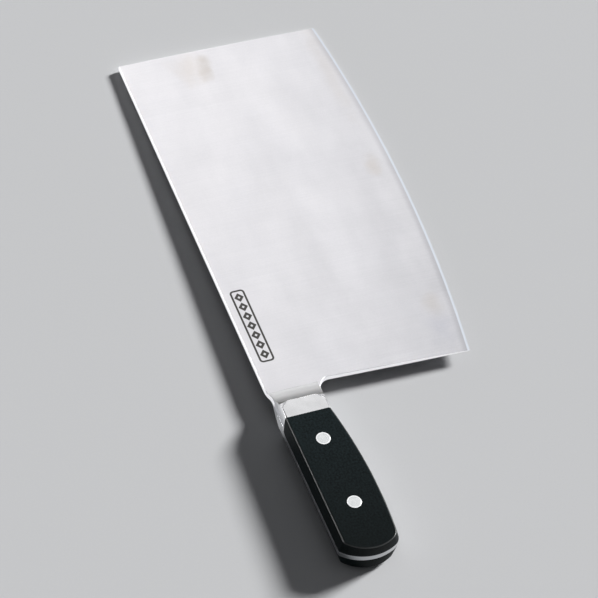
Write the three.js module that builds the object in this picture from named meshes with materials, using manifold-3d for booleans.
// Broad-bladed kitchen cleaver: a full-tang blade, a pair of welded bolster cheeks, a pair of
// handle scales and two two-piece rivets.
//
// Units are millimetres. +X runs to the blade's tip, +Y to its spine, +Z out of its right face.
// Everything is drawn from the corner where the spine meets the heel, in the blade's mid-plane.
// The finished group is then shifted, so that the part's origin is the centre of its overall box.
import * as THREE from 'three';
import Module from 'manifold-3d';
import { mergeVertices } from 'three/addons/utils/BufferGeometryUtils.js';

// Steel stock, shared by the blade and its tang.
const stockThickness = 3.0;
const stockFace = stockThickness / 2;

// Blade outline.
const bladeLength = 220;
const tipLean = 0.2;
const edgeLowest = new THREE.Vector2(121.4, -114.3);
const edgeRadius = 862;
const heelTopX = -1.3;
const heelCornerX = -5.5;
const heelFilletRadius = 6.4;

// Blade grind: each face curves in from the stock face to the shoulder of the edge bevel.
const grindHeight = 74;
const shoulderHeight = 1.2;
const shoulderHalfThickness = 0.26;
const edgeHalfThickness = 0.1;
const grindCurve = 1.7;
const grindSteps = 8;
const grindOverrun = 12;

// Neck, between the blade and the handle.
const neckSpineY = -1.8;
const neckBellyY = -26.3;
const neckRiseFrontX = -8.2;
const neckRiseBackX = -20.4;
const neckEndX = -29.4;

// Handle outline at the tang. The butt is an arc that bulges out from the line between its corners.
const handleSpineY = 0.3;
const seamX = -23.7;
const seamBellyY = -25.5;
const bellyLowestX = -75.8;
const bellyLowestY = -31.2;
const buttSpineCorner = new THREE.Vector2(-98.4, -0.35);
const buttBellyCornerX = -100.6;
const buttBulge = 5.6;
const buttSpineRound = 1.0;
const buttBellyRound = 3.0;

// Handle section: the sides draw in towards the outer faces, whose edges are rounded off.
// The rounding is narrower round the butt.
const handleThickness = 16;
const sideDraft = 1.8;
const edgeRoundWidth = 1.3;
const edgeRoundHeight = 0.9;
const buttRoundWidth = 0.7;

// Bolster: a flat with cut front corners, then a scoop that runs out on the blade's face.
const bolsterFrontX = -14.3;
const scoopEndX = -3.2;
const scoopEndHeight = 0.05;
const bolsterMidY = -13;
const bolsterFrontHalfWidth = 6.8;
const facetRun = 3.6;
const facetRise = 3.4;
const facetTiltDegrees = 28;

// Rivets, each a tube half from the right and a pin half from the left.
const rivets = [
  { name: 'front_rivet', x: -40.0, y: -14.4 },
  { name: 'rear_rivet', x: -78.3, y: -15.2 },
];
const rivetHeadRadius = 3.5;
const rivetHeadHeight = 2;
const tubeRadius = 2.3;
const tubeBoreRadius = 1.55;
const tubeBoreRoof = 1.2;
const pinRadius = 1.5;
const pinEndGap = 0.6;
const tubeEndGap = 0.5;
const scaleHoleClearance = 0.05;
const tangHoleClearance = 0.3;

// Faceting.
const curveSegments = 12;
const edgeSegments = 32;
const rivetSegments = 36;
const roundSegments = 4;
const mergeTolerance = 1e-4;

// How far a cut runs past what it cuts, and the size of a block that is larger than any piece.
const overlap = 5;
const cutBlockSize = 40;

// Direction from an arc's centre to its lowest point.
const straightDown = 1.5 * Math.PI;

const handleFace = handleThickness / 2;
const facetTilt = THREE.MathUtils.degToRad(facetTiltDegrees);
const edgeCentre = new THREE.Vector2(edgeLowest.x, edgeLowest.y + edgeRadius);

const wasm = await Module();
wasm.setup();

// Solids ---------------------------------------------------------------------------------------

function toSolid(geometry) {
  geometry.deleteAttribute('normal');
  geometry.deleteAttribute('uv');
  const merged = mergeVertices(geometry, mergeTolerance);
  const mesh = new wasm.Mesh({
    numProp: 3,
    vertProperties: merged.attributes.position.array,
    triVerts: new Uint32Array(merged.index.array),
  });
  return new wasm.Manifold(mesh);
}

function toGeometry(solid) {
  const mesh = solid.getMesh();
  const geometry = new THREE.BufferGeometry();
  geometry.setAttribute('position', new THREE.BufferAttribute(mesh.vertProperties, 3));
  geometry.setIndex(new THREE.BufferAttribute(mesh.triVerts, 1));
  geometry.computeVertexNormals();
  return geometry;
}

// An outline in the blade's plane, extruded from one height to another.
function prism(outline, low, high) {
  const geometry = new THREE.ExtrudeGeometry(outline, {
    depth: high - low,
    bevelEnabled: false,
    curveSegments,
  });
  geometry.translate(0, 0, low);
  return toSolid(geometry);
}

function box(minimum, maximum) {
  const size = new THREE.Vector3().subVectors(maximum, minimum);
  const middle = new THREE.Vector3().addVectors(minimum, maximum).multiplyScalar(0.5);
  const geometry = new THREE.BoxGeometry(size.x, size.y, size.z);
  geometry.translate(middle.x, middle.y, middle.z);
  return toSolid(geometry);
}

// A body of revolution about a line parallel to Z. The profile holds [radius, z] pairs and runs
// counter-clockwise from the foot of the axis.
function turned(profile, x, y) {
  const points = profile.map(([radius, z]) => new THREE.Vector2(radius, z));
  const geometry = new THREE.LatheGeometry(points, rivetSegments);
  geometry.rotateX(Math.PI / 2);
  geometry.translate(x, y, 0);
  return toSolid(geometry);
}

function drill(radius, x, y, low, high) {
  return turned([[0, low], [radius, low], [radius, high], [0, high]], x, y);
}

// The left-hand twin of a right-hand shape: reflected in the blade's mid-plane, with its
// triangles turned round so that they still face out.
function reflected(geometry) {
  const twin = geometry.clone();
  twin.scale(1, 1, -1);
  const order = twin.index.array;
  for (let corner = 0; corner < order.length; corner += 3) {
    const second = order[corner + 1];
    order[corner + 1] = order[corner + 2];
    order[corner + 2] = second;
  }
  return twin;
}

// Outlines -------------------------------------------------------------------------------------

function edgeHeightAt(x) {
  return edgeCentre.y - Math.sqrt(edgeRadius ** 2 - (x - edgeCentre.x) ** 2);
}

function edgeAngleAt(x) {
  return Math.atan2(edgeHeightAt(x) - edgeCentre.y, x - edgeCentre.x);
}

// The shallow dip of the neck's spine side, from the blade's spine back to the handle.
function traceNeck(path) {
  const frontPull = neckRiseFrontX / 2;
  const backPull = (neckRiseBackX + neckEndX) / 2;
  path.bezierCurveTo(frontPull, 0, frontPull, neckSpineY, neckRiseFrontX, neckSpineY);
  path.lineTo(neckRiseBackX, neckSpineY);
  path.bezierCurveTo(backPull, neckSpineY, backPull, handleSpineY, neckEndX, handleSpineY);
}

// The arc of the butt passes through both corners of the handle and bulges out between them.
function buttArc() {
  const bellyCorner = new THREE.Vector2(buttBellyCornerX, bellyHeightAt(buttBellyCornerX));
  const chord = new THREE.Vector2().subVectors(bellyCorner, buttSpineCorner);
  const halfChord = chord.length() / 2;
  const radius = (halfChord ** 2 + buttBulge ** 2) / (2 * buttBulge);
  const inward = new THREE.Vector2(-chord.y, chord.x).normalize();
  const centre = chord.multiplyScalar(0.5).add(buttSpineCorner);
  centre.addScaledVector(inward, radius - buttBulge);
  return { radius, centre };
}

function buttX() {
  const butt = buttArc();
  return butt.centre.x - butt.radius;
}

// The belly of the handle is one shallow arc, lowest near the butt and ending at the seam.
function bellyArc() {
  const run = seamX - bellyLowestX;
  const rise = seamBellyY - bellyLowestY;
  const radius = (run ** 2 + rise ** 2) / (2 * rise);
  return { radius, x: bellyLowestX, y: bellyLowestY + radius };
}

function bellyHeightAt(x) {
  const arc = bellyArc();
  return arc.y - Math.sqrt(arc.radius ** 2 - (x - arc.x) ** 2);
}

function bellyAngleAt(x) {
  const arc = bellyArc();
  return Math.atan2(bellyHeightAt(x) - arc.y, x - arc.x);
}

// The handle's edge round the butt and along the belly, from the spine side to the seam.
function traceButtAndBelly(path) {
  const butt = buttArc();
  const belly = bellyArc();
  const { x: spineX, y: spineY } = buttSpineCorner;
  const bellyX = buttBellyCornerX;
  const bellyY = bellyHeightAt(bellyX);
  const spineAngle = Math.atan2(spineY - butt.centre.y, spineX - butt.centre.x);
  const bellyAngle = Math.atan2(bellyY - butt.centre.y, bellyX - butt.centre.x) + 2 * Math.PI;
  const start = spineAngle + buttSpineRound / butt.radius;
  const end = bellyAngle - buttBellyRound / butt.radius;
  path.lineTo(spineX + buttSpineRound, spineY);
  path.quadraticCurveTo(
    spineX, spineY,
    butt.centre.x + butt.radius * Math.cos(start), butt.centre.y + butt.radius * Math.sin(start),
  );
  path.absarc(butt.centre.x, butt.centre.y, butt.radius, start, end, false);
  path.quadraticCurveTo(
    bellyX, bellyY,
    bellyX + buttBellyRound, bellyHeightAt(bellyX + buttBellyRound),
  );
  path.absarc(
    belly.x, belly.y, belly.radius,
    bellyAngleAt(bellyX + buttBellyRound), bellyAngleAt(seamX), false,
  );
}

// Blade and tang in one piece of stock: spine, neck, tang, heel, cutting edge and tip.
function bladeOutline() {
  const lean = (heelTopX - heelCornerX) / (neckBellyY - edgeHeightAt(heelCornerX));
  const filletEndY = neckBellyY - heelFilletRadius;
  const outline = new THREE.Shape();
  outline.moveTo(bladeLength, 0);
  outline.lineTo(0, 0);
  traceNeck(outline);
  traceButtAndBelly(outline);
  outline.lineTo(heelTopX - heelFilletRadius, neckBellyY);
  outline.bezierCurveTo(
    heelTopX - heelFilletRadius / 2, neckBellyY,
    heelTopX, neckBellyY - heelFilletRadius / 2,
    heelTopX - lean * heelFilletRadius, filletEndY,
  );
  outline.lineTo(heelCornerX, edgeHeightAt(heelCornerX));
  outline.absarc(
    edgeCentre.x, edgeCentre.y, edgeRadius,
    edgeAngleAt(heelCornerX), edgeAngleAt(bladeLength - tipLean), false,
  );
  outline.closePath();
  return outline;
}

// The plain outline that the bolster and the scales are shaped from, run on past the bolster.
function handleOutline() {
  const outline = new THREE.Shape();
  outline.moveTo(overlap, handleSpineY);
  outline.lineTo(neckEndX, handleSpineY);
  traceButtAndBelly(outline);
  outline.lineTo(overlap, neckBellyY);
  outline.closePath();
  return outline;
}

// What the neck's dip takes off the spine side of that outline.
function neckReliefOutline() {
  const outline = new THREE.Shape();
  outline.moveTo(overlap, 0);
  outline.lineTo(0, 0);
  traceNeck(outline);
  outline.lineTo(neckEndX, overlap);
  outline.lineTo(overlap, overlap);
  outline.closePath();
  return outline;
}

// Blade ----------------------------------------------------------------------------------------

// The line of the cutting edge as a path for a grinding cut, run on past heel and tip.
class EdgeLine extends THREE.Curve {
  getPoint(t, target = new THREE.Vector3()) {
    const x = THREE.MathUtils.lerp(heelCornerX - grindOverrun, bladeLength + grindOverrun, t);
    return target.set(x, edgeHeightAt(x), 0);
  }
}

// Half the blade's thickness at a height above the cutting edge.
function halfThicknessAt(height) {
  const fall = (grindHeight - height) / (grindHeight - shoulderHeight);
  return stockFace - (stockFace - shoulderHalfThickness) * fall ** grindCurve;
}

// What grinding takes off one face. In the section, X is depth (side 1 is the left face) and
// Y is height above the edge.
function grindCut(side) {
  const section = new THREE.Shape();
  section.moveTo(side * edgeHalfThickness, -overlap);
  section.lineTo(side * edgeHalfThickness, 0);
  for (let step = 0; step <= grindSteps; step += 1) {
    const height = THREE.MathUtils.lerp(shoulderHeight, grindHeight, step / grindSteps);
    section.lineTo(side * halfThicknessAt(height), height);
  }
  section.lineTo(side * overlap, grindHeight);
  section.lineTo(side * overlap, -overlap);
  section.closePath();
  return toSolid(new THREE.ExtrudeGeometry(section, {
    extrudePath: new EdgeLine(),
    steps: edgeSegments,
    bevelEnabled: false,
  }));
}

function bladeGeometry() {
  let solid = prism(bladeOutline(), -stockFace, stockFace);
  for (const side of [-1, 1]) {
    solid = solid.subtract(grindCut(side));
  }
  for (const { x, y } of rivets) {
    solid = solid.subtract(drill(tubeRadius + tangHoleClearance, x, y, -overlap, overlap));
  }
  return toGeometry(solid);
}

// Handle ---------------------------------------------------------------------------------------

// The handle's right half as one block: drafted sides and rounded outer edges. The sides are
// drafted by narrowing the block about its middle line as it rises, and the rings of the rounded
// edge are moved towards the butt, to narrow the rounding there.
function handleBlock() {
  const wallTop = handleFace - edgeRoundHeight;
  const wallHeight = wallTop - stockFace;
  const midY = (handleSpineY + bellyLowestY) / 2;
  const narrowing = sideDraft / (handleSpineY - midY) / wallHeight;
  const geometry = new THREE.ExtrudeGeometry(handleOutline(), {
    depth: wallHeight,
    bevelEnabled: true,
    bevelThickness: edgeRoundHeight,
    bevelSize: edgeRoundWidth,
    bevelOffset: -edgeRoundWidth,
    bevelSegments: roundSegments,
    curveSegments,
  });
  geometry.translate(0, 0, stockFace);
  const position = geometry.attributes.position;
  for (let vertex = 0; vertex < position.count; vertex += 1) {
    const z = position.getZ(vertex);
    const climb = THREE.MathUtils.clamp(z - stockFace, 0, wallHeight);
    const round = THREE.MathUtils.clamp((z - wallTop) / edgeRoundHeight, 0, 1);
    const shift = (edgeRoundWidth - buttRoundWidth) * (1 - Math.sqrt(1 - round ** 2));
    position.setX(vertex, position.getX(vertex) - shift);
    position.setY(vertex, midY + (position.getY(vertex) - midY) * (1 - narrowing * climb));
  }
  return toSolid(geometry).subtract(prism(neckReliefOutline(), 0, handleFace + overlap));
}

// The bolster's side view, in X and Z, as a slab across the whole handle.
function bolsterProfile() {
  const run = scoopEndX - bolsterFrontX;
  const low = stockFace + scoopEndHeight;
  const rise = handleFace - low;
  const radius = (run ** 2 + rise ** 2) / (2 * rise);
  const startAngle = Math.PI + Math.acos(run / radius);
  const outline = new THREE.Shape();
  outline.moveTo(seamX, stockFace);
  outline.lineTo(scoopEndX, stockFace);
  outline.lineTo(scoopEndX, low);
  outline.absarc(scoopEndX, low + radius, radius, straightDown, startAngle, true);
  outline.lineTo(bolsterFrontX, handleFace + overlap);
  outline.lineTo(seamX, handleFace + overlap);
  outline.closePath();
  const geometry = new THREE.ExtrudeGeometry(outline, {
    depth: handleSpineY - bellyLowestY + 2 * overlap,
    bevelEnabled: false,
    curveSegments,
  });
  geometry.rotateX(Math.PI / 2);
  geometry.translate(0, handleSpineY + overlap, 0);
  return toSolid(geometry);
}

// A block whose underside is the sloping facet at one front corner of the bolster's flat.
// side is 1 at the spine and -1 at the belly.
function facetCut(side) {
  const across = new THREE.Vector3(facetRise, side * facetRun, 0).normalize();
  const normal = across.multiplyScalar(Math.sin(facetTilt));
  normal.z = Math.cos(facetTilt);
  const geometry = new THREE.BoxGeometry(cutBlockSize, cutBlockSize, cutBlockSize);
  geometry.translate(0, 0, cutBlockSize / 2);
  geometry.applyQuaternion(
    new THREE.Quaternion().setFromUnitVectors(new THREE.Vector3(0, 0, 1), normal),
  );
  geometry.translate(bolsterFrontX, bolsterMidY + side * bolsterFrontHalfWidth, handleFace);
  return toSolid(geometry);
}

function bolsterGeometry() {
  const solid = handleBlock()
    .intersect(bolsterProfile())
    .subtract(facetCut(1))
    .subtract(facetCut(-1));
  return toGeometry(solid);
}

function scaleGeometry() {
  const slab = box(
    new THREE.Vector3(buttX() - overlap, bellyLowestY - overlap, stockFace),
    new THREE.Vector3(seamX, handleSpineY + overlap, handleFace + overlap),
  );
  const seat = handleFace - rivetHeadHeight;
  let solid = handleBlock().intersect(slab);
  for (const { x, y } of rivets) {
    solid = solid
      .subtract(drill(tubeRadius + scaleHoleClearance, x, y, 0, handleFace))
      .subtract(drill(rivetHeadRadius + scaleHoleClearance, x, y, seat, handleFace + overlap));
  }
  return toGeometry(solid);
}

// Rivets ---------------------------------------------------------------------------------------

function rivetTubeGeometry({ x, y }) {
  const seat = handleFace - rivetHeadHeight;
  const end = -seat + tubeEndGap;
  const roof = seat - tubeBoreRoof;
  return toGeometry(turned([
    [0, roof],
    [tubeBoreRadius, roof],
    [tubeBoreRadius, end],
    [tubeRadius, end],
    [tubeRadius, seat],
    [rivetHeadRadius, seat],
    [rivetHeadRadius, handleFace],
    [0, handleFace],
  ], x, y));
}

function rivetPinGeometry({ x, y }) {
  const seat = -handleFace + rivetHeadHeight;
  const end = -seat - tubeBoreRoof - pinEndGap;
  return toGeometry(turned([
    [0, -handleFace],
    [rivetHeadRadius, -handleFace],
    [rivetHeadRadius, seat],
    [pinRadius, seat],
    [pinRadius, end],
    [0, end],
  ], x, y));
}

// Materials ------------------------------------------------------------------------------------

const groundSteel = { color: 0xdcdee2, roughness: 0.38, metalness: 1 };
const polishedSteel = { color: 0xe6e7ea, roughness: 0.2, metalness: 1 };
const rivetSteel = { color: 0xe9eaec, roughness: 0.25, metalness: 1 };
const blackPolymer = { color: 0x14191b, roughness: 0.45, metalness: 0 };

// Assembly -------------------------------------------------------------------------------------

const knife = new THREE.Group();

function addPart(name, geometry, look) {
  const mesh = new THREE.Mesh(geometry, new THREE.MeshStandardMaterial(look));
  mesh.name = name;
  knife.add(mesh);
}

const bolster = bolsterGeometry();
const scale = scaleGeometry();

addPart('blade', bladeGeometry(), groundSteel);
addPart('bolster_right', bolster, polishedSteel);
addPart('bolster_left', reflected(bolster), polishedSteel);
addPart('scale_right', scale, blackPolymer);
addPart('scale_left', reflected(scale), blackPolymer);
for (const rivet of rivets) {
  addPart(`${rivet.name}_tube`, rivetTubeGeometry(rivet), rivetSteel);
  addPart(`${rivet.name}_pin`, rivetPinGeometry(rivet), rivetSteel);
}

const middleX = (buttX() + bladeLength) / 2;
const middleY = (handleSpineY + edgeLowest.y) / 2;
knife.position.set(-middleX, -middleY, 0);

const group = new THREE.Group();
group.add(knife);

export default group;
